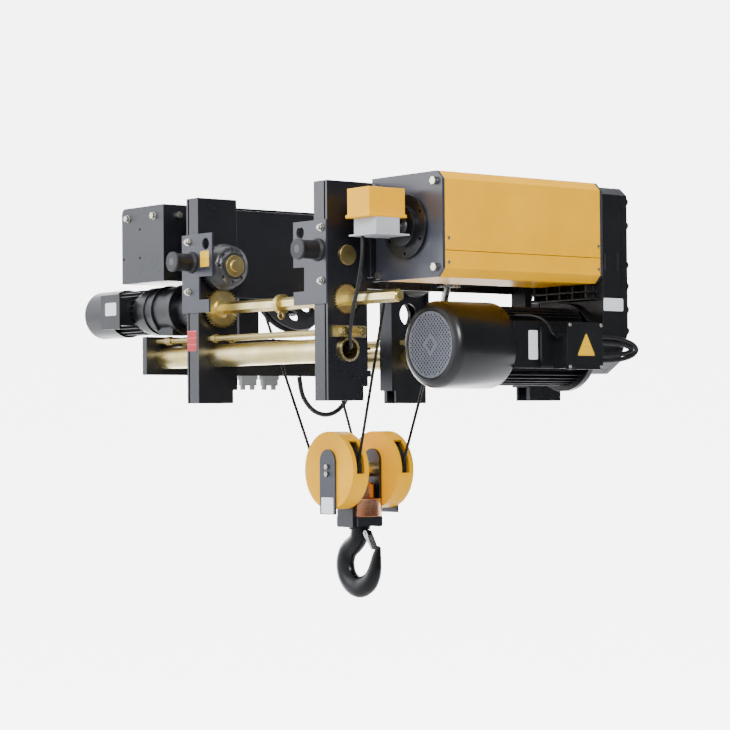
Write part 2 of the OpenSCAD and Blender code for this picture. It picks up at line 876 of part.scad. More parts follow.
// rope under one block sheave with its two straight leads
module under_wrap(y, right, fall)
    translate([0, y, 0]) {
        from = atan2(left_a[1] - block_z, left_a[0]);
        to = atan2(right[1] - block_z, right[0]);
        translate([0, 0, block_z])
            rotate([90, 0, 0])
                rotate(from)
                    rotate_extrude(angle = to - from, $fn = 96)
                        translate([sheave_r, 0])
                            circle(r = rope_r, $fn = 24);
        for (p = [[left_a, fall_l], [right, fall]]) {
            d = 0.1 * (p[1] - p[0]) / norm(p[1] - p[0]);
            strand([p[0][0] + d[0], 0, p[0][1] + d[1]], [p[1][0] - 20 * d[0], 0, p[1][1] - 20 * d[1]],
                rope_r);
        }
    }

module rope_block_wraps()
    color([0.35, 0.35, 0.34]) {
        under_wrap(-sheave_y, right_a, fall_a);
        under_wrap(sheave_y, right_b, fall_b);
    }

module strap_outline(w, low)
    union() {
        translate([-w / 2, low])
            square([w, block_z + 34 - low]);
        translate([0, block_z + 34])
            circle(r = w / 2);
    }

module block_straps()
    color([0.05, 0.053, 0.06])
        for (y = [[guard_in - strap_t, guard_in], [-guard_in, -guard_in + strap_t]])
            difference() {
                plate_xz(y)
                    strap_outline(96, -934);
                rod_y(27, [y[0] - 1, y[1] + 1], 0, block_z);
                rod_y(16, [y[0] - 1, y[1] + 1], 0, -914);
            }

// half-open guard round one sheave, with a rope slot on each upper side
module sheave_guards()
    color([1.0, 0.8, 0.16])
        for (y = [-sheave_y, sheave_y])
            translate([0, y, block_z])
            rotate([90, 0, 0])
                difference() {
                    cylinder(r = guard_r, h = guard_w - 0.4, center = true, $fn = 96);
                    cylinder(r = guard_r - 8, h = guard_w - 10, center = true, $fn = 96);
                    cylinder(r = 27.2, h = guard_w + 2, center = true);
                    linear_extrude(40, center = true)
                        polygon([[60, 0], [170, -16], [200, 60], [140, 160], [64, 78]]);
                    linear_extrude(40, center = true)
                        polygon([[-60, 0], [-170, -16], [-200, 60], [-140, 160], [-64, 78]]);
                }

module guard_straps()
    color([0.4, 0.4, 0.4])
        for (y = [[guard_out, guard_out + 8], [-guard_out - 8, -guard_out]])
            difference() {
                union() {
                    plate_xz(y)
                        strap_outline(94, -882);
                    for (z = [14, -14])
                        hex_y(20, [y[0] - 8, y[1] + 8], 0, block_z + z);
                }
                block([-60, 60], y[0] > 0 ? [guard_out - 20, guard_out] : [-guard_out, -guard_out + 20],
                    [-900, -600]);
            }

module block_axle()
    color([0.8, 0.65, 0.32])
        rod_y(27, [-guard_out, guard_out], 0, block_z);

module block_sheave(y)
    color([0.28, 0.28, 0.29])
        translate([0, y, block_z])
            rotate([90, 0, 0])
                sheave(sheave_r, 42, 27.05);

module block_crosshead()
    color([0.05, 0.053, 0.06])
        difference() {
            union() {
                block([-66, 66], [-guard_in + strap_t, guard_in - strap_t], [-930, -894]);
                rod_y(16, [-guard_in, guard_in], 0, -914);
            }
            rod_up(35.06, [-940, -880], 0, 0);
        }

module bearing_housing()
    color([0.72, 0.42, 0.26])
        difference() {
            intersection() {
                rod_up(86, [-894, -824], 0, 0);
                block([-90, 90], [-guard_in + strap_t, guard_in - strap_t], [-900, -800]);
            }
            rod_up(35.06, [-900, -800], 0, 0);
        }

module hook_nut()
    color([0.74, 0.44, 0.28])
        difference() {
            union() {
                rod_up(58, [-823.7, -768], 0, 0);
                rod_up(50, [-768, -760], 0, 0);
            }
            rod_up(35, [-830, -750], 0, 0);
        }

// point on the hook's centre line at an angle about the bowl centre
function on_hook(a, r) = [r * cos(a), 0, bowl_z + r * sin(a)];

module hook()
    color([0.04, 0.04, 0.042])
        difference() {
            union() {
                rod_up(35, [-1000, -748], 0, 0);
                rod_up(42, [-944, -931], 0, 0);
                translate([-14, 0, -992])
                    sphere(r = 41);
                translate([0, 0, bowl_z])
                    rotate([90, 0, 0])
                        rotate(104)
                            rotate_extrude(angle = 220, $fn = 96)
                                polygon([[bowl_r, -22], [bowl_r + 8, -33], [bowl_r + 44, -31],
                                    [bowl_r + 78, -19], [bowl_r + 84, -10], [bowl_r + 84, 10],
                                    [bowl_r + 78, 19], [bowl_r + 44, 31], [bowl_r + 8, 33],
                                    [bowl_r, 22]]);
                strand(on_hook(318, hook_mid + 2), on_hook(0, hook_mid + 4), 27);
                translate(on_hook(0, hook_mid + 4))
                    sphere(r = 29);
                strand(on_hook(0, hook_mid + 4), on_hook(30, hook_mid + 38), 19);
                translate(on_hook(30, hook_mid + 38))
                    sphere(r = 21);
                block([24, 58], [-9, 9], [-974, -945]);
                rod_y(6, [-17, 17], latch_c[0], latch_c[1]);
            }
            rod_y(bowl_r - 1.5, [-60, 60], 0, bowl_z);
        }

module latch()
    color([0.75, 0.76, 0.76])
        translate([latch_c[0], 0, latch_c[1]])
            rotate([0, -30, 0])
                difference() {
                    union() {
                        for (s = [-13.5, 9.5]) {
                            rod_y(11, [s, s + 4], 0, 0);
                            block([-11, 11], [s, s + 4], [-54, 0]);
                        }
                        block([7, 11], [-13.5, 13.5], [-58, -21]);
                    }
                    rod_y(6.05, [-20, 20], 0, 0);
                }

posts(false);  // left_posts
posts(true);  // right_posts
side_plates();
tie_tubes();
gauge_rods();
rod_straps();
buffer_brackets();
buffers();
bolts();
at_corner(false, true) wheel(true);  // wheel_front_left
at_corner(true, true) wheel(true);  // wheel_front_right
at_corner(false, false) wheel(false);  // wheel_rear_left
at_corner(true, false) wheel(false);  // wheel_rear_right
wheel_axles();
drive_shaft();
drive_pinions();
shaft_bearings();
trolley_gearbox();
trolley_motor();
trolley_fan_cover();
trolley_fan();
cabinet();
cabinet_supports();
counterweight();
plug_connectors();
cables();
drum_end_plates();
drum_tie_rods();
drum();
wound_rope();
rope_guide();
upper_cover();
lower_cover();
hoist_gearbox();
gearbox_cover();
motor_stator();
motor_fan_cover();
motor_fan();
motor_terminal_box();
limit_switch();
limit_switch_cover();
return_sheave();
return_bracket();
rope_anchor();
rope_return_wrap();
rope_fall_drum();
rope_falls_return();
rope_fall_anchor();
rope_block_wraps();
block_straps();
sheave_guards();
guard_straps();
block_axle();
block_sheave(-sheave_y);  // sheave_front
block_sheave(sheave_y);  // sheave_rear
block_crosshead();
bearing_housing();
hook();
hook_nut();
latch();
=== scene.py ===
import math

import bmesh
import bpy
import numpy as np
from mathutils import Matrix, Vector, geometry


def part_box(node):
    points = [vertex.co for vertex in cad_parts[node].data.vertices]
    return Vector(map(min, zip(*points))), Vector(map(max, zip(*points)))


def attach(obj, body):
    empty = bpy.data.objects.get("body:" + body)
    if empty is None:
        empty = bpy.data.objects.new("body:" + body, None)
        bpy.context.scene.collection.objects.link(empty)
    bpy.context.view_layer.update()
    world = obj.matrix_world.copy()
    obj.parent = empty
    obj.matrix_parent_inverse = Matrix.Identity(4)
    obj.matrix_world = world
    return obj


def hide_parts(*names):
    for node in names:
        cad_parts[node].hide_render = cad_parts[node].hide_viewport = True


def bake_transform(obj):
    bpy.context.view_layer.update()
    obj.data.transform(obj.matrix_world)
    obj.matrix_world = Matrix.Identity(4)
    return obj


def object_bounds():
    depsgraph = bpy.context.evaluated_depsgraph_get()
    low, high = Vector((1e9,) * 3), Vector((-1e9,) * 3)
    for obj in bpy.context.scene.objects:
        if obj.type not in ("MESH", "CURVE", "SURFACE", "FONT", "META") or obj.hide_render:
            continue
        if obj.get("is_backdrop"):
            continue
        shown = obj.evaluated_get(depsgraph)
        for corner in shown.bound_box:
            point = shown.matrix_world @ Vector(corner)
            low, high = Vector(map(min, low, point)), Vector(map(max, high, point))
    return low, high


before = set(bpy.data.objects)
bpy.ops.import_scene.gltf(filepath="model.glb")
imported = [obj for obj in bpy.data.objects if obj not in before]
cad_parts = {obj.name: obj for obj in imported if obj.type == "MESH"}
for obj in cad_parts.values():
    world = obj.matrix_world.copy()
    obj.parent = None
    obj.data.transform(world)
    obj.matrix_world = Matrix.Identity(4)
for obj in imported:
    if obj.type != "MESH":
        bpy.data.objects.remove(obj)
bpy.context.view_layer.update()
scene = bpy.context.scene

# --- Room: camera, floor and soft lamps ------------------------------------------------
# A long lens stands at the height of the hook block and looks along the beam and across
# it. The floor is a pale sweep that curves up behind the hoist.
eye = np.array([7.1206, -5.7678, -0.541])
turn, pitch, roll = math.radians(50.83), math.radians(1.471), math.radians(-0.465)
ahead = np.array([-math.sin(turn), math.cos(turn), 0.0])
side = np.array([math.cos(turn), math.sin(turn), 0.0])
up = np.array([0.0, 0.0, 1.0])
look = ahead * math.cos(pitch) + up * math.sin(pitch)
rise = up * math.cos(pitch) - ahead * math.sin(pitch)
right = side * math.cos(roll) + rise * math.sin(roll)
top = rise * math.cos(roll) - side * math.sin(roll)
lens = bpy.data.cameras.new("long_lens")
lens.lens, lens.sensor_width = 116.1, 36.0
lens.clip_end = 60.0
camera = bpy.data.objects.new("camera", lens)
scene.collection.objects.link(camera)
placing = np.eye(4)
placing[:3, 0], placing[:3, 1], placing[:3, 2], placing[:3, 3] = right, top, -look, eye
camera.matrix_world = Matrix(placing.tolist())
scene.camera = camera


def linear(code):
    """An sRGB hex colour as the linear RGBA that shaders use."""
    rgb = np.array([int(code[i : i + 2], 16) for i in (0, 2, 4)]) / 255
    flat = np.where(rgb <= 0.04045, rgb / 12.92, ((rgb + 0.055) / 1.055) ** 2.4)
    return (*flat.tolist(), 1.0)


def add(tree, kind, feeds=None, **settings):
    """Adds one node, sets its properties, and fills or links its inputs from feeds."""
    made = tree.nodes.new(kind)
    for key, value in settings.items():
        setattr(made, key, value)
    for key, value in (feeds or {}).items():
        if isinstance(value, bpy.types.NodeSocket):
            tree.links.new(value, made.inputs[key])
        else:
            made.inputs[key].default_value = value
    return made


def new_material(name):
    """An empty node material with its output; returns the material and its tree."""
    made = bpy.data.materials.new(name)
    made.use_nodes = True
    made.node_tree.nodes.clear()
    return made, made.node_tree


def mesh_object(name, points, faces, material, sharp=35):
    """A merged mesh object at the origin from an array of points and a list of faces."""
    mesh = bpy.data.meshes.new(name)
    mesh.from_pydata(np.asarray(points, float).reshape(-1, 3).tolist(), [], faces)
    shape = bmesh.new()
    shape.from_mesh(mesh)
    bmesh.ops.remove_doubles(shape, verts=shape.verts, dist=0.000005)
    shape.to_mesh(mesh)
    shape.free()
    mesh.polygons.foreach_set("use_smooth", [True] * len(mesh.polygons))
    mesh.set_sharp_from_angle(angle=math.radians(sharp))
    mesh.materials.append(material)
    made = bpy.data.objects.new(name, mesh)
    scene.collection.objects.link(made)
    return made


def grid_faces(rows, cols, wrap_cols=False, start=0):
    """Quads joining a grid of points numbered row by row, optionally wrapped round."""
    i = np.arange(rows - 1)[:, None]
    j = np.arange(cols if wrap_cols else cols - 1)[None, :]
    a = i * cols + j
    b = i * cols + (j + 1) % cols
    c = (i + 1) * cols + (j + 1) % cols
    d = (i + 1) * cols + j
    return (np.stack([a, b, c, d], -1).reshape(-1, 4) + start).tolist()


# Matt white paper with a quarter circle from floor to wall. It glows from 11 m beyond the
# origin on, so that it stays white behind the hoist.
paper, tree = new_material("white_paper_sweep")
depth = add(tree, "ShaderNodeVectorMath", {
    0: add(tree, "ShaderNodeTexCoord").outputs["Object"], 1: tuple(ahead)},
    operation="DOT_PRODUCT")
glow = add(tree, "ShaderNodeMapRange", {
    "Value": depth.outputs["Value"], "From Min": 11.0, "From Max": 14.0,
    "To Min": 0.0, "To Max": 5.0})
shader = add(tree, "ShaderNodeBsdfPrincipled", {
    "Base Color": linear("E6E6E6"), "Roughness": 0.9,
    "Emission Color": linear("FFFFFF"), "Emission Strength": glow.outputs["Result"]})
add(tree, "ShaderNodeOutputMaterial", {"Surface": shader.outputs[0]})
bend = np.linspace(0, math.pi / 2, 13)
run = np.concatenate([[-24], 14 + 3 * np.sin(bend), [17]])
height = np.concatenate([[0], 3 * (1 - np.cos(bend)), [18]]) - 7.2
across = np.array([-26, 26])
sweep = (
    ahead * run[:, None, None]
    + side * across[None, :, None]
    + up * height[:, None, None]
)
mesh_object("floor", sweep, grid_faces(len(run), 2), paper)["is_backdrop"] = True

# Cool room light that is strong on the left and weak on the right.
world = bpy.data.worlds.new("studio")
scene.world = world
world.use_nodes = True
tree = world.node_tree
direction = add(tree, "ShaderNodeTexCoord").outputs["Generated"]
facing = add(tree, "ShaderNodeVectorMath", {0: direction, 1: (0.775, 0.632, 0.0)},
             operation="DOT_PRODUCT")
strength = add(tree, "ShaderNodeMapRange", {
    "Value": facing.outputs["Value"], "From Min": -0.95, "From Max": 0.7,
    "To Min": 2.0, "To Max": 0.22})
tree.nodes["Background"].inputs["Color"].default_value = (0.92, 0.96, 1.05, 1)
tree.links.new(strength.outputs["Result"], tree.nodes["Background"].inputs["Strength"])


def soft_lamp(name, place, size, power, target=(0.0, 0.0, -0.3)):
    """A rectangular lamp at a place, turned to face the target."""
    lamp = bpy.data.lights.new(name, "AREA")
    lamp.shape, lamp.size, lamp.size_y, lamp.energy = "RECTANGLE", size[0], size[1], power
    made = bpy.data.objects.new(name, lamp)
    scene.collection.objects.link(made)
    z = np.array(place, float) - np.array(target)
    z /= np.linalg.norm(z)
    x = np.cross(up, z)
    x /= np.linalg.norm(x)
    pose = np.eye(4)
    pose[:3, 0], pose[:3, 1], pose[:3, 2], pose[:3, 3] = x, np.cross(z, x), z, place
    made.matrix_world = Matrix(pose.tolist())


soft_lamp("lamp_left_front", (-3.5, -5.0, 1.5), (3.0, 3.0), 110)
soft_lamp("lamp_right_front", (7.0, -4.5, 3.6), (2.5, 2.5), 720)
soft_lamp("lamp_top", (0.5, -0.5, 4.5), (4.0, 4.0), 170)


# --- Painted steelwork: side frames, brackets, cabinet, counterweight ------------------
# Folded and welded plate under a satin black stoved enamel. Broad faces are even, and the
# edges, which the paint rounds over, catch a thin light.
def enamel(name, code, roughness, peel, peel_mm, coat=0.0, shine=0.5):
    """Stoved paint: cloudy tint, gloss that drifts a little, and orange peel of a given grain
    in millimetres."""
    made, tree = new_material(name)
    where = add(tree, "ShaderNodeTexCoord").outputs["Object"]
    cloud = add(tree, "ShaderNodeTexNoise", {"Vector": where, "Scale": 6.0, "Detail": 4.0})
    colour = np.array(linear(code))
    ramp = add(tree, "ShaderNodeValToRGB", {"Fac": cloud.outputs["Fac"]})
    ramp.color_ramp.elements[0].position, ramp.color_ramp.elements[1].position = 0.3, 0.7
    ramp.color_ramp.elements[0].color = (*(colour[:3] * 0.92), 1)
    ramp.color_ramp.elements[1].color = (*np.minimum(colour[:3] * 1.06, 1), 1)
    gloss = add(tree, "ShaderNodeMapRange", {
        "Value": cloud.outputs["Fac"], "From Min": 0.3, "From Max": 0.7,
        "To Min": roughness - 0.04, "To Max": roughness + 0.05})
    grain = add(tree, "ShaderNodeTexNoise", {
        "Vector": where, "Scale": 1000 / peel_mm, "Detail": 2.0})
    bump = add(tree, "ShaderNodeBump", {
        "Height": grain.outputs["Fac"], "Strength": peel, "Distance": 0.0004})
    shader = add(tree, "ShaderNodeBsdfPrincipled", {
        "Base Color": ramp.outputs["Color"], "Roughness": gloss.outputs["Result"],
        "Normal": bump.outputs["Normal"], "Coat Weight": coat, "Coat Roughness": 0.2,
        "Specular IOR Level": shine})
    add(tree, "ShaderNodeOutputMaterial", {"Surface": shader.outputs["BSDF"]})
    return made


black_enamel = enamel("satin_black_stoved_enamel", "111217", 0.3, 0.2, 2.5, 0.3)
slate_enamel = enamel("slate_stoved_enamel", "2B2D36", 0.32, 0.2, 2.5, 0.2)
casting_paint = enamel("black_paint_on_casting", "0B0C0F", 0.36, 0.6, 5.0, 0.1)


def eased(node, body, material, width=0.0012, steps=2):
    """A welded copy of a CAD node with rounded edges, which stands for the node."""
    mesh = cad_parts[node].data.copy()
    mesh.name = node + "_eased"
    shape = bmesh.new()
    shape.from_mesh(mesh)
    bmesh.ops.remove_doubles(shape, verts=shape.verts, dist=0.00002)
    bmesh.ops.dissolve_limit(
        shape, angle_limit=math.radians(0.6), verts=shape.verts, edges=shape.edges)
    shape.to_mesh(mesh)
    shape.free()
    mesh.polygons.foreach_set("use_smooth", [True] * len(mesh.polygons))
    mesh.materials.clear()
    mesh.materials.append(material)
    made = bpy.data.objects.new(mesh.name, mesh)
    scene.collection.objects.link(made)
    if width:
        rounding = made.modifiers.new("edge", "BEVEL")
        rounding.width, rounding.segments = width, steps
        rounding.limit_method, rounding.angle_limit = "ANGLE", math.radians(32)
        flatness = made.modifiers.new("flatness", "WEIGHTED_NORMAL")
        flatness.keep_sharp, flatness.weight = True, 80
    else:
        mesh.set_sharp_from_angle(angle=math.radians(35))
    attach(made, body)
    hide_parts(node)
    return made


for part in ("left_posts", "right_posts", "side_plates", "cabinet_supports", "cabinet"):
    eased(part, "trolley", black_enamel, 0.002)
eased("buffer_brackets", "trolley", slate_enamel, 0.001)
eased("counterweight", "trolley", black_enamel, 0.0015)
eased("return_bracket", "trolley", black_enamel, 0.0015)
end_plate_enamel = enamel("light_slate_stoved_enamel", "34363F", 0.34, 0.2, 2.5, 0.2)
eased("drum_end_plates", "trolley", end_plate_enamel, 0.0012)


# --- Yellow passivated steel: tubes, rods, shafts, straps ------------------------------
# Drawn steel with zinc plate and a yellow chromate film. The film's thickness drifts, so
# the pale gold shifts a little in clouds, with fine draw lines along the bar.
def chromate(name, codes, roughness, lines):
    """Zinc under a chromate film: three tints mixed by slow noise, and stretched draw lines."""
    made, tree = new_material(name)
    where = add(tree, "ShaderNodeTexCoord").outputs["Object"]
    slow = add(tree, "ShaderNodeTexNoise", {"Vector": where, "Scale": 9.0, "Detail": 3.0})
    squash = add(tree, "ShaderNodeMapping", {"Vector": where, "Scale": lines})
    draw = add(tree, "ShaderNodeTexNoise", {
        "Vector": squash.outputs["Vector"], "Scale": 60.0, "Detail": 3.0})
    ramp = add(tree, "ShaderNodeValToRGB", {"Fac": slow.outputs["Fac"]})
    ramp.color_ramp.elements[0].position, ramp.color_ramp.elements[1].position = 0.35, 0.66
    ramp.color_ramp.elements[0].color = linear(codes[0])
    ramp.color_ramp.elements[1].color = linear(codes[2])
    ramp.color_ramp.elements.new(0.5).color = linear(codes[1])
    gloss = add(tree, "ShaderNodeMapRange", {
        "Value": draw.outputs["Fac"], "From Min": 0.3, "From Max": 0.7,
        "To Min": roughness - 0.05, "To Max": roughness + 0.07})
    bump = add(tree, "ShaderNodeBump", {
        "Height": draw.outputs["Fac"], "Strength": 0.25, "Distance": 0.0002})
    shader = add(tree, "ShaderNodeBsdfPrincipled", {
        "Base Color": ramp.outputs["Color"], "Metallic": 1.0, "Roughness": gloss.outputs["Result"],
        "Normal": bump.outputs["Normal"]})
    add(tree, "ShaderNodeOutputMaterial", {"Surface": shader.outputs["BSDF"]})
    return made


gold_drawn = chromate("yellow_zinc_drawn", ("D3BC78", "E0CD8C", "EDDFAE"), 0.3, (0.06, 1.0, 1.0))
gold_turned = chromate("yellow_zinc_turned", ("C7AE66", "D6C07C", "E4D399"), 0.32, (1.0, 1.0, 1.0))
eased("tie_tubes", "trolley", gold_drawn, 0.0008)
eased("rod_straps", "trolley", gold_drawn, 0.0008)
eased("wheel_axles", "trolley", gold_turned, 0.001)
eased("drive_shaft", "drive_line", gold_drawn, 0.0012)
eased("drive_pinions", "drive_line", gold_turned, 0.0)
eased("block_axle", "hook_block", gold_turned, 0.0015)

# The threaded rods have a rolled thread. Its crests are a bump of 5 mm pitch along X, coarse
# so that they show; a band texture repeats every 314 mm divided by its scale.
thread, tree = new_material("yellow_zinc_thread")
where = add(tree, "ShaderNodeTexCoord").outputs["Object"]
crests = add(tree, "ShaderNodeTexWave", {"Vector": where, "Scale": 314 / 5, "Distortion": 0.0},
             wave_type="BANDS", bands_direction="X", wave_profile="SIN")
# The roots are coloured darker than the crests: painted shade in the thread's grooves.
tint = add(tree, "ShaderNodeValToRGB", {"Fac": crests.outputs["Fac"]})
tint.color_ramp.elements[0].color = linear("9C8748")
tint.color_ramp.elements[1].color = linear("E4D399")
bump = add(tree, "ShaderNodeBump", {
    "Height": crests.outputs["Fac"], "Strength": 0.8, "Distance": 0.001})
shader = add(tree, "ShaderNodeBsdfPrincipled", {
    "Base Color": tint.outputs["Color"], "Metallic": 1.0, "Roughness": 0.3,
    "Normal": bump.outputs["Normal"]})
add(tree, "ShaderNodeOutputMaterial", {"Surface": shader.outputs["BSDF"]})
eased("gauge_rods", "trolley", thread, 0.0008)

# --- Bolts, tie rods, sockets, rope guide and anchor -----------------------------------
# Bolts, tie rods and washers have a clear zinc plate, dulled by handling. The rope guide and
# anchor are bright machined steel, the sockets grey castings and the bearings painted black.
zinc = chromate("bright_zinc_plate", ("B4B2A8", "C8C5B6", "D6D2C0"), 0.28, (1.0, 1.0, 1.0))
steel = chromate("bright_machined_steel", ("B9BABA", "CBCCCC", "DADADA"), 0.26, (1.0, 1.0, 1.0))
eased("bolts", "trolley", zinc, 0.0008)
eased("drum_tie_rods", "trolley", zinc, 0.0008)
eased("plug_connectors", "trolley", enamel("grey_cast_sockets", "8C8F90", 0.35, 0.4, 3.0), 0.001)
for part in ("rope_guide", "rope_anchor"):
    eased(part, "trolley", steel, 0.0008)
eased("shaft_bearings", "trolley", casting_paint, 0.001)


def turned(name, profile, axis, places, material, sides=48):
    """Copies of a turned shape: each (radius, distance) of the profile goes round the axis
    through each place."""
    radius, distance = np.asarray(profile, float).T
    angle = np.linspace(0, 2 * math.pi, sides, endpoint=False)
    along = np.asarray(axis, float)
    across = np.cross(along, up if abs(along[2]) < 0.9 else ahead)
    across /= np.linalg.norm(across)
    ring = np.cos(angle)[:, None] * across + np.sin(angle)[:, None] * np.cross(along, across)
    shape = radius[:, None, None] * ring + distance[:, None, None] * along
    points = np.asarray(places, float)[:, None, None, :] + shape
    step = len(radius) * sides
    faces = [f for k in range(len(places)) for f in grid_faces(len(radius), sides, True, k * step)]
    return mesh_object(name, points, faces, material)


# Washers under the bolt heads of the buffer plates and the cabinet, 2.5 mm thick.
washer = [(0.008, 0), (0.0145, 0), (0.015, 0.0005), (0.015, 0.002), (0.0145, 0.0025),
          (0.008, 0.0025), (0.008, 0)]
seats = [(x, -0.508, z) for x in (-0.42, 0.42) for z in (0.178, -0.016)]
seats += [(x, -0.5, 0.302) for x in (-0.857, -0.670)]
washers = turned("washers", washer, (0, -1, 0), seats, zinc, 32)
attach(washers, "trolley")

# --- Yellow covers ---------------------------------------------------------------------
# The drum covers are folded steel sheet in a warm yellow powder coat, in two halves screwed
# to the end plates. The sheave guards and the limit switch cap are the same yellow, a little
# glossier.
yellow_coat = enamel("warm_yellow_powder_coat", "FFB600", 0.36, 0.2, 2.0, 0.0, 0.1)
eased("upper_cover", "trolley", yellow_coat, 0.002)
eased("lower_cover", "trolley", yellow_coat, 0.002)
bright_yellow = enamel("bright_yellow_enamel", "FFB600", 0.34, 0.2, 2.5, 0.0, 0.12)
eased("sheave_guards", "hook_block", bright_yellow, 0.006, 3)
eased("limit_switch_cover", "trolley", bright_yellow, 0.006, 3)

# --- Hoist gearbox, motors and terminal box --------------------------------------------
# Grey iron and aluminium castings, painted black with a slightly rough skin. The limit
# switch is a light grey casting.
for part in ("trolley_gearbox", "trolley_motor", "trolley_fan_cover", "hoist_gearbox",
             "gearbox_cover", "motor_stator", "motor_terminal_box"):
    eased(part, "trolley", casting_paint, 0.002)
eased("limit_switch", "trolley", enamel("grey_cast_aluminium", "B9BCBF", 0.4, 0.4, 3.0), 0.002)
eased("trolley_fan", "trolley_rotor", casting_paint, 0.0)
eased("motor_fan", "hoist_rotor", casting_paint, 0.0)

# The fan cover is spun from sheet: a shell that turns in to a flat face, with a pressed
# grille whose holes stand on a square lattice turned by 45 degrees, with one ring left blank.
low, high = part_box("motor_fan_cover")
mid = np.array([(low[0] + high[0]) / 2, low[1], (low[2] + high[2]) / 2])
turn_in = np.linspace(0, math.pi / 2, 9)
rim = [(0.1215, 0.0035), (0.1225, 0.0008), (0.1245, 0.0), (0.127, 0.0003)]
rim += list(zip(0.1300 + 0.0300 * np.sin(turn_in), 0.001 + 0.036 * (1 - np.cos(turn_in))))
rim += [(0.16, 0.06), (0.16, 0.2815), (0.159, 0.2835), (0.157, 0.2837), (0.157, 0.04),
        (0.127, 0.0045), (0.1215, 0.0035)]
satin_black = enamel("satin_black_spun_sheet", "0A0B0D", 0.3, 0.12, 2.0, 0.1)
shell = turned("fan_cover_shell", rim, (0, 1, 0), [mid], satin_black, 96)
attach(shell, "trolley")
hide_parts("motor_fan_cover")


def pierced(name, outline, holes, back, front, normal, material):
    """A plate between two levels along its normal, cut by round holes. Outline and holes are
    loops in the plate's own plane; both faces are filled, and each loop gets a wall."""
    loops = [np.asarray(outline, float)] + [np.asarray(h, float) for h in holes]
    starts = np.cumsum([0] + [len(loop) for loop in loops])
    edges = [(a + i, a + (i + 1) % (b - a))
             for a, b in zip(starts, starts[1:]) for i in range(b - a)]
    flat = np.concatenate(loops)
    found = geometry.delaunay_2d_cdt(flat.tolist(), edges, [], 1, 1e-7)
    corner = np.array([tuple(p) for p in found[0]])
    faces = np.array(found[2])
    centre = corner[faces].mean(1)
    keep = np.ones(len(faces), bool)
    for loop in loops[1:]:
        hub = loop.mean(0)
        keep &= np.linalg.norm(centre - hub, axis=1) > np.linalg.norm(loop[0] - hub) * 0.98
    faces = faces[keep]
    along = np.asarray(normal, float)
    across = np.cross(up, along)

    def place(flat_points, level):
        return flat_points[:, :1] * across + flat_points[:, 1:] * up + level * along

    n = len(corner)
    points = [place(corner, front), place(corner, back)]
    shown = faces.tolist() + (faces[:, ::-1] + n).tolist()
    base = 2 * n
    for k, loop in enumerate(loops):
        m = len(loop)
        points += [place(loop, front), place(loop, back)]
        i = np.arange(m)
        wall = np.stack([base + i, base + (i + 1) % m, base + m + (i + 1) % m, base + m + i], -1)
        shown += (wall[:, ::-1] if k == 0 else wall).tolist()
        base += 2 * m
    return mesh_object(name, np.concatenate(points), shown, material)


def ring_loop(x, z, radius, count):
    """Points of a circle about (x, z), anticlockwise."""
    a = np.linspace(0, 2 * math.pi, count, endpoint=False)
    return np.stack([x + radius * np.cos(a), z + radius * np.sin(a)], -1)


hole_pitch, hole_r, blank_ring, pierced_r = 0.0118, 0.0041, 2, 0.114
step = hole_pitch / math.sqrt(2)
i, j = np.meshgrid(np.arange(-14, 15), np.arange(-14, 15))
spots = np.stack([(i + j) * step, (i - j) * step], -1)
wanted = (np.linalg.norm(spots, axis=-1) < pierced_r) & (np.maximum(abs(i), abs(j)) != blank_ring)
holes = [ring_loop(mid[0] + x, mid[2] + z, hole_r, 10) for x, z in spots[wanted]]
# The grille face is coloured mid grey while the shell of the same sheet is black: painted light on
# the face turned to the bright left side.
grille = pierced("fan_cover_grille", ring_loop(mid[0], mid[2], 0.1218, 72), holes,
                 -mid[1] - 0.0045, -mid[1] - 0.002, (0, -1, 0),
                 enamel("grille_grey_painted_light", "6A6D76", 0.4, 0.1, 2.0))
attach(grille, "trolley")
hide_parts("motor_fan_cover")


# --- Plates, labels and small screws ---------------------------------------------------
# Blank rating plates and a plain triangle sign: thin printed film with rounded corners,
# stuck to the paint.
def film(name, corners, centre, normal, cut, material, body="trolley", lift=0.0004, sink=0.0002):
    """A sheet across the normal, from a sink to a lift: a polygon in which a parabola rounds
    each corner, starting and ending at the cut's distance from it."""
    along = np.asarray(normal, float)
    across = np.cross(up, along)
    shape = np.asarray(corners, float)
    after, before = np.roll(shape, -1, 0), np.roll(shape, 1, 0)
    t = np.linspace(0, 1, 5)[None, :, None]
    start = shape + (before - shape) / np.linalg.norm(before - shape, axis=1)[:, None] * cut
    stop = shape + (after - shape) / np.linalg.norm(after - shape, axis=1)[:, None] * cut
    loop = ((1 - t) ** 2 * start[:, None] + 2 * t * (1 - t) * shape[:, None]
            + t ** 2 * stop[:, None]).reshape(-1, 2)
    m = len(loop)
    face = np.asarray(centre, float) + loop[:, :1] * across + loop[:, 1:] * up
    points = np.concatenate([face + lift * along, face - sink * along])
    i = np.arange(m)
    walls = np.stack([i, i + m, (i + 1) % m + m, (i + 1) % m], -1).tolist()
    made = mesh_object(name, points, [list(range(m)), list(range(2 * m - 1, m - 1, -1))] + walls,
                       material)
    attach(made, body)
    return made


def panel(width, height):
    """The four corners of a width by height rectangle about the origin, anticlockwise."""
    return [(-width / 2, -height / 2), (width / 2, -height / 2),
            (width / 2, height / 2), (-width / 2, height / 2)]


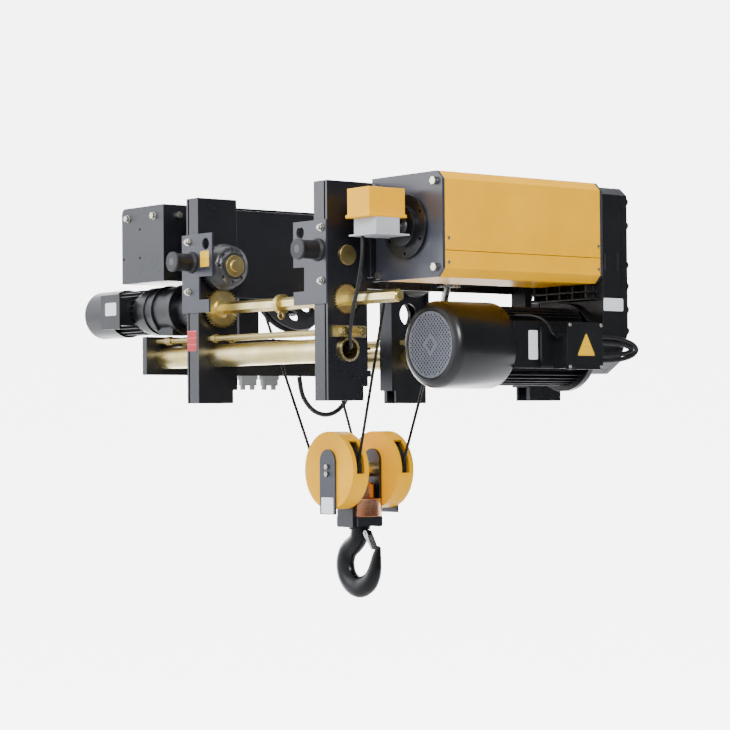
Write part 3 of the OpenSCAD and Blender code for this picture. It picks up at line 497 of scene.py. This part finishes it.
def printed(name, code, rule_code, pitch_mm):
    """Printed film: an even ground crossed by faint level rules, like a blank form."""
    made, tree = new_material(name)
    where = add(tree, "ShaderNodeTexCoord").outputs["Object"]
    rules = add(tree, "ShaderNodeTexWave", {"Vector": where, "Scale": 314 / pitch_mm,
                                            "Distortion": 0.0},
                wave_type="BANDS", bands_direction="Z", wave_profile="SIN")
    ramp = add(tree, "ShaderNodeValToRGB", {"Fac": rules.outputs["Fac"]})
    ramp.color_ramp.elements[0].position, ramp.color_ramp.elements[1].position = 0.86, 0.97
    ramp.color_ramp.elements[0].color, ramp.color_ramp.elements[1].color = (
        linear(code), linear(rule_code))
    shader = add(tree, "ShaderNodeBsdfPrincipled", {"Base Color": ramp.outputs["Color"],
                                                    "Roughness": 0.45})
    add(tree, "ShaderNodeOutputMaterial", {"Surface": shader.outputs["BSDF"]})
    return made


white_film = printed("white_printed_film", "F4F6F8", "C9CDD2", 9.0)
yellow_film = printed("yellow_printed_film", "F2BE00", "E8B000", 30.0)
red_film = printed("red_printed_film", "B80A10", "D84A48", 26.0)
black_film = printed("black_printed_film", "16161A", "1C1C20", 30.0)
to_right, to_front = (1, 0, 0), (0, -1, 0)
film("motor_plate", panel(0.046, 0.108), (0.7845, 0.195, -0.249), to_right, 0.00552, white_film)
film("gearbox_plate", panel(0.104, 0.048), (0.8362, 0.563, -0.093), to_right, 0.006, white_film)
film("rating_plate_trolley", panel(0.08, 0.052), (-0.906, -0.5533, -0.063), to_front, 0.006,
     white_film)
film("block_plate", panel(0.074, 0.062), (0.0, -0.1592, -0.848), to_front, 0.006, white_film,
     "hook_block")
film("red_tag", panel(0.062, 0.080), (-0.412, -0.5002, -0.206), to_front, 0.0024, red_film)
film("bracket_sticker", panel(0.058, 0.062), (-0.312, -0.5082, 0.108), to_front, 0.0036,
     yellow_film)
sign = np.array([(-0.053, -0.048), (0.053, -0.048), (0.0, 0.051)])
film("sign_edge", sign, (0.8682, 0.3857, -0.246), to_right, 0.0108, black_film)
film("sign_ground", sign * 0.86 + (0, -0.0015), (0.8687, 0.3857, -0.246), to_right, 0.0096,
     yellow_film)

# Socket screws on the terminal box lid.
screw = [(0.0, 0.0), (0.0068, 0.0), (0.0068, 0.002), (0.0065, 0.0036), (0.0052, 0.0046),
         (0.0028, 0.0046), (0.0024, 0.0042), (0.0, 0.0042)]
lid_corners = [(0.868, y, z) for y in (0.302, 0.463) for z in (-0.330, -0.175)]
screws = turned("lid_screws", screw, to_right, lid_corners, zinc, 24)
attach(screws, "trolley")

# --- Running gear: wheels, sheaves, drum -----------------------------------------------
# Dark machined cast iron. Each piece turns about its own axis, so it has its own body.
iron = enamel("machined_cast_iron", "303032", 0.32, 0.35, 3.0)
for part, body in (("wheel_front_left", "wheel_fl"), ("wheel_front_right", "wheel_fr"),
                   ("wheel_rear_left", "wheel_rl"), ("wheel_rear_right", "wheel_rr"),
                   ("return_sheave", "return_wheel"), ("sheave_front", "block_wheel_front"),
                   ("sheave_rear", "block_wheel_rear"), ("drum", "drum_set")):
    eased(part, body, iron, 0.0)

# --- Buffers and cables ----------------------------------------------------------------
# Black rubber: moulded bumpers with a grey end face, and sheathed round leads.
rubber = enamel("black_rubber", "070708", 0.5, 0.5, 4.0)
eased("buffers", "trolley", rubber, 0.002)
# The flat end faces are coloured mid grey; the rest of each bumper is black.
grey_end_rubber = enamel("grey_rubber_end_face", "4A4B4F", 0.55, 0.6, 3.0)
pad = [(0.0, -0.0035), (0.0386, -0.0035), (0.0386, 0.0006), (0.037, 0.0018), (0.030, 0.0024),
       (0.0, 0.0026)]
pads = turned("buffer_faces", pad, to_front, [(x, -0.6015, 0.098) for x in (-0.398, 0.398)],
              grey_end_rubber)
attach(pads, "trolley")


def through(points, per=12):
    """A smooth path through a list of points: between each pair, the cubic whose slope at a
    point is half the step between its neighbours."""
    p = np.asarray(points, float)
    p = np.concatenate([p[:1], p, p[-1:]])
    a, b, c, d = p[:-3, None], p[1:-2, None], p[2:-1, None], p[3:, None]
    t = np.linspace(0, 1, per, endpoint=False)[None, :, None]
    run = 0.5 * (2 * b + (c - a) * t + (2 * a - 5 * b + 4 * c - d) * t**2
                 + (3 * b - a - 3 * c + d) * t**3)
    return np.concatenate([run.reshape(-1, 3), p[-1:]])


def swept(name, path, across, radius, section, twist, material):
    """A closed rod along a path: a ring of points at radius times the section's shape about
    each path point, turned by the twist in radians per metre; across is never along it."""
    path = np.asarray(path, float)
    along = np.gradient(path, axis=0)
    along /= np.linalg.norm(along, axis=1)[:, None]
    u = np.cross(across, along)
    u /= np.linalg.norm(u, axis=1)[:, None]
    v = np.cross(along, u)
    run = np.concatenate([[0], np.cumsum(np.linalg.norm(np.diff(path, axis=0), axis=1))])
    n = len(section)
    angle = np.linspace(0, 2 * math.pi, n, endpoint=False)[None, :] + run[:, None] * twist
    ring = np.asarray(section)[None, :] * np.ones_like(angle) * radius
    points = path[:, None] + ring[..., None] * (
        np.cos(angle)[..., None] * u[:, None] + np.sin(angle)[..., None] * v[:, None])
    faces = grid_faces(len(path), n, True)
    faces += [list(range(n - 1, -1, -1)), list(range((len(path) - 1) * n, len(path) * n))]
    return mesh_object(name, points, faces, material, 60)


def half_loop(centre, first, second):
    """Points each 30 degrees of half an ellipse: centre plus first times the cosine and
    second times the sine."""
    a = np.radians(np.arange(0, 181, 30))[:, None]
    return np.asarray(centre) + np.cos(a) * np.asarray(first) + np.sin(a) * np.asarray(second)


# Each lead: name, route, radius, and a direction that it never runs along.
leads = [("beam_loop", half_loop((-0.742, 0.42, -0.334), (0, -0.14, 0), (0, 0, -0.16)),
          0.010, (1, 0, 0))]
for k in (0, 1):
    leads.append(("motor_loop_%d" % k, half_loop(
        (0.843, 0.491, -0.262), (0, 0, 0.045 - 0.021 * k), (0, 0.185 - 0.026 * k, 0)),
        0.009, (1, 0, 0)))
leads.append(("brake_lead", np.array([
    [766, 120, -140], [800, 180, -142], [828, 220, -165], [830, 250, -205], [826, 273, -215],
]) / 1000, 0.004, (1, 0, 0)))
leads.append(("switch_lead", np.array([
    [600, -462, 137], [596, -462, 60], [566, -458, -40], [520, -448, -140], [484, -430, -215],
    [468, -414, -252], [440, -407.5, -264], [380, -407.5, -264]]) / 1000, 0.007, (0, 1, 0)))
for name, points, thick, across in leads:
    route = through(points)
    lead = swept(name, route, across, thick, np.ones(20), 0.0, rubber)
    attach(lead, "trolley")
    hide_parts("cables")

# --- Wire rope -------------------------------------------------------------------------
# Six steel strands laid round a core, greased, 12 mm thick with a lay of about 78 mm: the
# section has six lobes, which turn once round in each lay.
rope_wire = chromate("greased_rope_wire", ("1E1D1B", "2F2E2B", "45433F"), 0.36, (1.0, 1.0, 1.0))
lobes = np.linspace(0, 2 * math.pi, 24, endpoint=False)
strands = 0.84 + 0.16 * np.abs(np.cos(3 * lobes))
lay = 2 * math.pi / 0.078
rope_r, block_lead, wrap_rings = 0.006, 0.06, 60
block_z, sheave_y, sheave_r = -0.713, 0.112, 0.115
return_c, return_r, lean = np.array([-0.452, -0.021]), 0.142, math.radians(25.2)


def straight(a, b):
    """Points 6 mm apart along the line from a to b."""
    a, b = np.asarray(a, float), np.asarray(b, float)
    count = max(2, int(np.linalg.norm(b - a) / 0.006))
    return a + np.linspace(0, 1, count)[:, None] * (b - a)


def leaving(hand, heading):
    """Where a rope leaves a block sheave on one hand for a heading in X and Z, and a point
    60 mm further on."""
    heading = np.asarray(heading) / np.linalg.norm(heading)
    touch = hand * np.array([heading[1], -heading[0]]) * sheave_r + (0, block_z)
    return touch, touch + block_lead * heading


drum_lead, anchor_end = np.array([0.511, 0.229]), np.array([0.400, -0.030])
touch_drum, fall_drum = leaving(1, drum_lead - (0.106, -0.758))
touch_anchor, fall_anchor = leaving(1, anchor_end - (0.122, -0.758))
touch_return, fall_return = leaving(-1, return_c - (-0.104, -0.762))
for name, y, touch, fall in (("wrap_front", -sheave_y, touch_drum, fall_drum),
                             ("wrap_rear", sheave_y, touch_anchor, fall_anchor)):
    start = math.atan2(touch_return[1] - block_z, touch_return[0]) + 2 * math.pi
    stop = math.atan2(touch[1] - block_z, touch[0]) + 2 * math.pi
    a = np.linspace(start, stop if stop > start else stop + 2 * math.pi, wrap_rings)
    arc = np.stack([
        sheave_r * np.cos(a), np.full(wrap_rings, y), block_z + sheave_r * np.sin(a)], -1)
    into = straight((fall_return[0], y, fall_return[1]), arc[0])
    out = straight(arc[-1], (fall[0], y, fall[1]))
    wrap = swept(name, np.concatenate([into[:-1], arc, out[1:]]), (0, 1, 0), rope_r, strands,
                 lay, rope_wire)
    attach(wrap, "hook_block")
    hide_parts("rope_block_wraps")
falls = [("fall_to_drum", "rope_fall_drum", (fall_drum[0], -sheave_y, fall_drum[1]),
          (drum_lead[0], -0.22, drum_lead[1])),
         ("fall_to_anchor", "rope_fall_anchor", (fall_anchor[0], sheave_y, fall_anchor[1]),
          (0.384, sheave_y, -0.076))]
for hand, name in ((-1, "fall_return_front"), (1, "fall_return_rear")):
    falls.append((name, "rope_falls_return", (fall_return[0], hand * sheave_y, fall_return[1]),
                  (return_c[0], hand * return_r, return_c[1])))
for name, node, low, high in falls:
    fall = swept(name, straight(low, high), (0, 1, 0), rope_r, strands, lay, rope_wire)
    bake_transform(fall)
    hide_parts(node)
a = np.linspace(0, math.pi, wrap_rings)
tilt = np.array([math.sin(lean), 0, math.cos(lean)])
over = np.array([return_c[0], 0, return_c[1]]) + return_r * (
    np.cos(a)[:, None] * np.array([0, 1, 0]) + np.sin(a)[:, None] * tilt)
over_wrap = swept("wrap_return", over, (math.cos(lean), 0, -math.sin(lean)), rope_r, strands,
                  lay, rope_wire)
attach(over_wrap, "trolley")
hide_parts("rope_return_wrap")
eased("wound_rope", "drum_set", rope_wire, 0.0)

# --- Hook block ------------------------------------------------------------------------
# Two flame-cut straps carry the axle above and the crosshead below; the hook's nut turns on
# a thrust bearing whose housing and nut are machined bronze.
for part in ("block_straps", "block_crosshead"):
    eased(part, "hook_block", black_enamel, 0.0015)
eased("guard_straps", "hook_block", slate_enamel, 0.0008)
hex_head = [(0.0, 0.0), (0.0118, 0.0), (0.0118, 0.0071), (0.0098, 0.0084), (0.0, 0.0084)]
for name, face in (("strap_bolts_front", -1), ("strap_bolts_rear", 1)):
    heads = turned(name, hex_head, (0, face, 0),
                   [(0, face * 0.159, block_z + z) for z in (-0.014, 0.014)], zinc, 6)
    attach(heads, "hook_block")
bronze = chromate("machined_bronze", ("A86E4E", "C08866", "D6A688"), 0.3, (1.0, 1.0, 6.0))
eased("bearing_housing", "hook_block", bronze, 0.005, 3)
eased("hook_nut", "hook_swivel_set", bronze, 0.004, 3)

# --- Hook ------------------------------------------------------------------------------
# A drop-forged point hook with a round shank, painted black. The egg-shaped section is
# deepest round the back and bottom of the bowl, and it tapers to a blunt tip.
forging = enamel("black_forging_paint", "060607", 0.3, 0.6, 6.0, 0.0, 0.28)
spine = np.array([
    [0, -880], [0, -925], [0, -950], [-7, -978], [-30, -1001], [-58, -1020], [-77, -1043],
    [-87, -1081], [-76, -1124], [-44, -1156], [0, -1168], [43, -1154], [70, -1131], [87, -1101],
    [95, -1072], [102, -1044], [111, -1016]]) / 1000
deep = np.array([34.5, 34.5, 35, 37, 38, 39, 41, 42, 42, 42, 42, 39, 34, 29, 24, 19, 12]) / 1000
wide = np.array([34.5, 34.5, 35, 34, 33, 32, 32, 32, 33, 33, 33, 32, 29, 26, 22, 17, 11]) / 1000
# half the section's depth and half its width ride along the same smooth curve as the spine
curve = through(np.stack([spine[:, 0], deep, spine[:, 1]], -1), 8)
half_width = through(np.stack([wide, wide, wide], -1), 8)[:, 0]
centreline = np.stack([curve[:, 0], curve[:, 2]], -1)
along = np.gradient(centreline, axis=0)
along /= np.linalg.norm(along, axis=1)[:, None]
outward = np.stack([along[:, 1], -along[:, 0]], -1)
# six rings close the tip as a quarter ellipse 12 mm long
closing = np.linspace(0, 1, 7)[1:]
tip_length, shrink = 0.012, np.sqrt(1 - closing**2)
centreline = np.concatenate([
    centreline, centreline[-1] + along[-1] * closing[:, None] * tip_length])
half_depth = np.concatenate([curve[:, 1], curve[-1, 1] * shrink])
half_width = np.concatenate([half_width, half_width[-1] * shrink])
outward = np.concatenate([outward, np.repeat(outward[-1:], 6, 0)])
# below the neck the section is an egg: an ellipse with its outer half broader and its inner
# half narrower
sides = 40
angle = np.linspace(0, 2 * math.pi, sides, endpoint=False)
below_neck = np.clip((np.arange(len(centreline)) - 24) / 24, 0, 1)[:, None]
egg = 1 + 0.16 * below_neck * np.cos(angle)[None, :]
flat = centreline[:, None] + (half_depth[:, None] * np.cos(angle))[..., None] * outward[:, None]
depth_y = half_width[:, None] * np.sin(angle)[None, :] * egg
points = np.stack([flat[..., 0], depth_y, flat[..., 1]], -1)
faces = grid_faces(len(centreline), sides, True)
faces.append(list(range(sides - 1, -1, -1)))
forged = mesh_object("forged_hook", points, faces, forging, 60)
shape = bmesh.new()
shape.from_mesh(forged.data)
bmesh.ops.recalc_face_normals(shape, faces=shape.faces)
shape.to_mesh(forged.data)
shape.free()
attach(forged, "hook_swivel_set")
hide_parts("hook")
collar = [(0.0, -0.1), (0.034, -0.1), (0.035, -0.0985), (0.035, 0.03), (0.0335, 0.0325),
          (0.0, 0.0325)]
shank = turned("hook_shank", collar, (0, 0, 1), [(0, 0, -0.7805)], forging)
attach(shank, "hook_swivel_set")
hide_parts("hook")
ring = [(0.034, -0.0065), (0.041, -0.0065), (0.042, -0.0055), (0.042, 0.0055), (0.041, 0.0065),
        (0.034, 0.0065), (0.034, -0.0065)]
shoulder = turned("hook_shoulder", ring, (0, 0, 1), [(0, 0, -0.9375)], forging)
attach(shoulder, "hook_swivel_set")
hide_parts("hook")
# The ear and pin that carry the latch.
pin_at = (0.048, 0, -0.958)
ear = film("latch_ear", [(-0.026, -0.016), (0.006, -0.016), (0.014, -0.006), (0.014, 0.004),
                         (0.006, 0.013), (-0.026, 0.013)], (0.044, 0, -0.958), to_front,
           0.0024, forging, "hook_swivel_set", 0.009, 0.009)
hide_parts("hook")
pin = [(0.0, -0.017), (0.0055, -0.017), (0.006, -0.0165), (0.006, 0.0165), (0.0055, 0.017),
       (0.0, 0.017)]
latch_pin = turned("latch_pin", pin, (0, 1, 0), [pin_at], steel, 32)
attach(latch_pin, "hook_swivel_set")
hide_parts("hook")

# --- Safety latch ----------------------------------------------------------------------
# A bright pressed channel. Two cheeks turn on the pin, and a web joins them along the outer
# side down to the tip of the hook.
cheek = [(-0.011, -0.002), (-0.009, 0.008), (0.0, 0.012), (0.009, 0.008), (0.012, 0.0),
         (0.013, -0.07), (0.009, -0.076), (0.003, -0.074), (-0.004, -0.03)]
web = [(-0.0135, -0.076), (0.0135, -0.076), (0.0135, -0.014), (-0.0135, -0.014)]
swing = Matrix.Translation(pin_at) @ Matrix.Rotation(math.radians(-30), 4, "Y")
for name, outline, centre, normal in (
        ("latch_cheek_front", cheek, (0, -0.0135, 0), to_front),
        ("latch_cheek_rear", cheek, (0, 0.0105, 0), to_front),
        ("latch_web", web, (0.0125, 0, 0), to_right)):
    plate = film(name, outline, centre, normal, 0.0024, steel, "hook_latch", 0.0, 0.003)
    plate.data.transform(swing)
    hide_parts("latch")

low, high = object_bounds()
